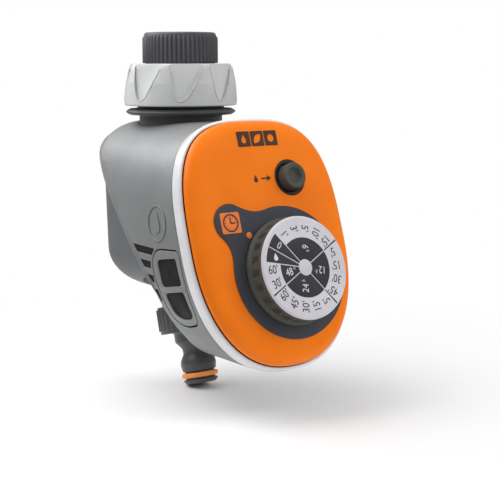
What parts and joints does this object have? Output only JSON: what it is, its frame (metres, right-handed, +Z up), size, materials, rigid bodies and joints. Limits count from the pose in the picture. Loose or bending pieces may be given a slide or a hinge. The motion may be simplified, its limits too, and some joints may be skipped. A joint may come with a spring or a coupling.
{
  "type": "drip irrigation timer",
  "caption": "Battery tap timer for drip irrigation: a dial and button panel on a domed shell, an electric valve, a ribbed tap connector above and a hose nipple below.",
  "frame": {"origin": "centre of the bounding box's bottom face", "axes": "+Z up along the inlet axis towards the tap, the front panel faces -Y and leans back, +X to the right seen from the front"},
  "size_m": [0.0838, 0.1264, 0.166],
  "materials": {
    "dark_plastic": "fine satin",
    "pale_plastic": "satin",
    "silver_plastic": "silver grey satin with a metallic cast",
    "mid_grey_plastic": "satin",
    "orange_plastic": "glossy",
    "white_plastic": "glossy",
    "pad_plastic": "fine grain",
    "knob_plastic": "satin",
    "scale_plastic": null,
    "seal_orange": "soft satin",
    "black_rubber": "matt",
    "black_plastic": "matt",
    "steel": "bright",
    "copper": "copper",
    "nylon": "natural nylon",
    "board_green": "solder mask",
    "battery_wrap": "gloss wrap",
    "red_cable": "cable sheath"
  },
  "bodies": {
    "timer": {"nut_clip_ring": "nylon", "inlet_filter": "nylon", "valve_body": "dark_plastic", "main_housing": "silver_plastic", "rear_cover": "mid_grey_plastic", "diaphragm": "black_rubber", "diaphragm_spring": "steel", "valve_bonnet": "dark_plastic", "solenoid_yoke": "steel", "solenoid_coil": "copper", "plunger_spring": "steel", "bonnet_screw_1": "steel", "bonnet_screw_2": "steel", "bonnet_screw_3": "steel", "bonnet_screw_4": "steel", "rear_screw_1": "steel", "rear_screw_2": "steel", "rear_screw_3": "steel", "rear_screw_4": "steel", "trim_ring": "white_plastic", "front_seal": "black_rubber", "front_cover": "orange_plastic", "dial_overlay": "pad_plastic", "circuit_board": "board_green", "rotary_switch": "black_plastic", "button_bezel": "pad_plastic", "button_spring": "steel", "tact_switch": "black_plastic", "board_screw_1": "steel", "board_screw_2": "steel", "control_chip": "black_plastic", "battery_sleeve": "black_plastic", "battery_contacts": "copper", "battery_lead_red": "red_cable", "battery_lead_black": "black_rubber"},
    "nut": {"inlet_nut": "pale_plastic"},
    "adaptor": {"tap_adaptor": "dark_plastic", "adaptor_washer": "black_rubber"},
    "connector": {"outlet_connector": "mid_grey_plastic", "outlet_o_ring": "seal_orange", "outlet_washer": "black_rubber"},
    "dial": {"dial_knob": "knob_plastic", "dial_scale_disc": "scale_plastic", "dial_shaft": "steel"},
    "button": {"manual_button": "knob_plastic"},
    "drawer": {"battery_drawer": "silver_plastic", "drawer_grip_upper": "black_rubber", "drawer_grip_lower": "black_rubber", "battery": "battery_wrap"},
    "plunger": {"solenoid_plunger": "steel"},
    "lift_plate": {"diaphragm_plate": "nylon"}
  },
  "joints": [
    {"name": "nut_spin", "type": "hinge", "parent": "timer", "child": "nut", "pos_m": [0, 0.03164, 0.12972], "axis": [0, 0, 1], "continuous": true},
    {"name": "adaptor_spin", "type": "hinge", "parent": "nut", "child": "adaptor", "pos_m": [0, 0.03164, 0.12972], "axis": [0, 0, 1], "continuous": true},
    {"name": "connector_spin", "type": "hinge", "parent": "timer", "child": "connector", "pos_m": [0, 0.01769, 0.00564], "axis": [0, 0.2576, 0.9662], "continuous": true},
    {"name": "dial_turn", "type": "hinge", "parent": "timer", "child": "dial", "pos_m": [0.0042, -0.0412, 0.06161], "axis": [0, -0.9509, 0.3095], "continuous": true},
    {"name": "button_press", "type": "slide", "parent": "timer", "child": "button", "axis": [0, 0.9509, -0.3095], "range_m": [0, 0.002], "deforming": ["button_spring"]},
    {"name": "drawer_slide", "type": "slide", "parent": "timer", "child": "drawer", "axis": [-1, 0, 0], "range_m": [0, 0.052]},
    {"name": "plunger_lift", "type": "slide", "parent": "timer", "child": "plunger", "axis": [0, -1, 0], "range_m": [0, 0.002], "deforming": ["plunger_spring"]},
    {"name": "diaphragm_lift", "type": "slide", "parent": "timer", "child": "lift_plate", "axis": [0, -1, 0], "range_m": [0, 0.0015], "deforming": ["diaphragm", "diaphragm_spring"]}
  ],
  "couplings": [
    {"joint": "diaphragm_lift", "follows": "plunger_lift", "ratio": 0.75}
  ]
}
